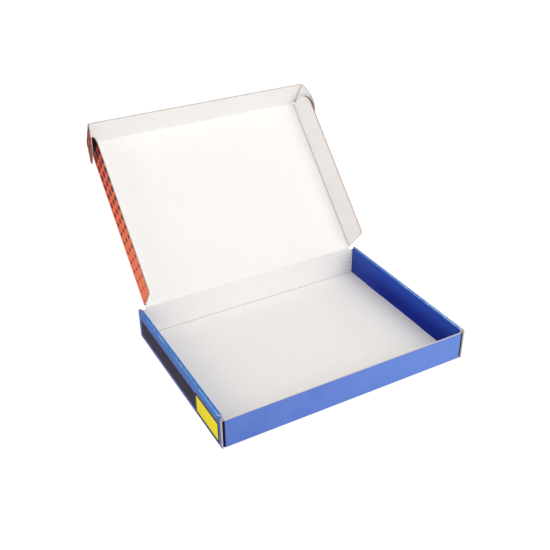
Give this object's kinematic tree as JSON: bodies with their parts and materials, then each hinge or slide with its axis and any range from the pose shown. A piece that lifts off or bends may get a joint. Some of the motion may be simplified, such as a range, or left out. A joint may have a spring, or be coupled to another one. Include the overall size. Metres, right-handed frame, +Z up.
{
  "type": "corrugated mailer box",
  "caption": "Flat corrugated mailer with rolled double side walls, a hinged lid, two side flaps and a tuck front with ears, standing open.",
  "frame": {"origin": "middle of the face that the tray stands on", "axes": "+X along the front wall to the right as seen from the front, +Y from the front wall to the hinge, +Z up"},
  "size_m": [0.3177, 0.3794, 0.2288],
  "materials": {
    "tray_board": "matte",
    "lid_board": "matte",
    "flap_board": "matte"
  },
  "bodies": {
    "tray": {"tray": "tray_board"},
    "lid": {"lid": "lid_board"},
    "front_flap": {"front_flap": "flap_board"},
    "left_side_flap": {"left_side_flap": "flap_board"},
    "right_side_flap": {"right_side_flap": "flap_board"},
    "left_ear": {"left_ear": "flap_board"},
    "right_ear": {"right_ear": "flap_board"}
  },
  "joints": [
    {"name": "lid_hinge", "type": "hinge", "parent": "tray", "child": "lid", "pos_m": [0, 0.1122, 0.041], "axis": [-1, 0, 0], "range_deg": [-134.5, 45.5]},
    {"name": "front_flap_crease", "type": "hinge", "parent": "lid", "child": "front_flap", "pos_m": [0, 0.26556, 0.19706], "axis": [1, 0, 0], "range_deg": [-74, 17]},
    {"name": "left_side_crease", "type": "hinge", "parent": "lid", "child": "left_side_flap", "pos_m": [-0.1469, 0.1122, 0.041], "axis": [0, 0.7009, 0.7133], "range_deg": [-90, 1]},
    {"name": "right_side_crease", "type": "hinge", "parent": "lid", "child": "right_side_flap", "pos_m": [0.1469, 0.1122, 0.041], "axis": [0, -0.7009, -0.7133], "range_deg": [-82, 9]},
    {"name": "left_ear_crease", "type": "hinge", "parent": "front_flap", "child": "left_ear", "pos_m": [-0.1494, 0.26556, 0.19706], "axis": [0, -0.4924, 0.8704], "range_deg": [-80, 10]},
    {"name": "right_ear_crease", "type": "hinge", "parent": "front_flap", "child": "right_ear", "pos_m": [0.1494, 0.26556, 0.19706], "axis": [0, 0.4924, -0.8704], "range_deg": [-72, 18]}
  ],
  "couplings": [
    {"joint": "front_flap_crease", "follows": "lid_hinge", "ratio": -0.12639},
    {"joint": "left_side_crease", "follows": "lid_hinge", "ratio": -0.007435},
    {"joint": "right_side_crease", "follows": "lid_hinge", "ratio": -0.066914},
    {"joint": "left_ear_crease", "follows": "lid_hinge", "ratio": -0.074349},
    {"joint": "right_ear_crease", "follows": "lid_hinge", "ratio": -0.13383}
  ]
}
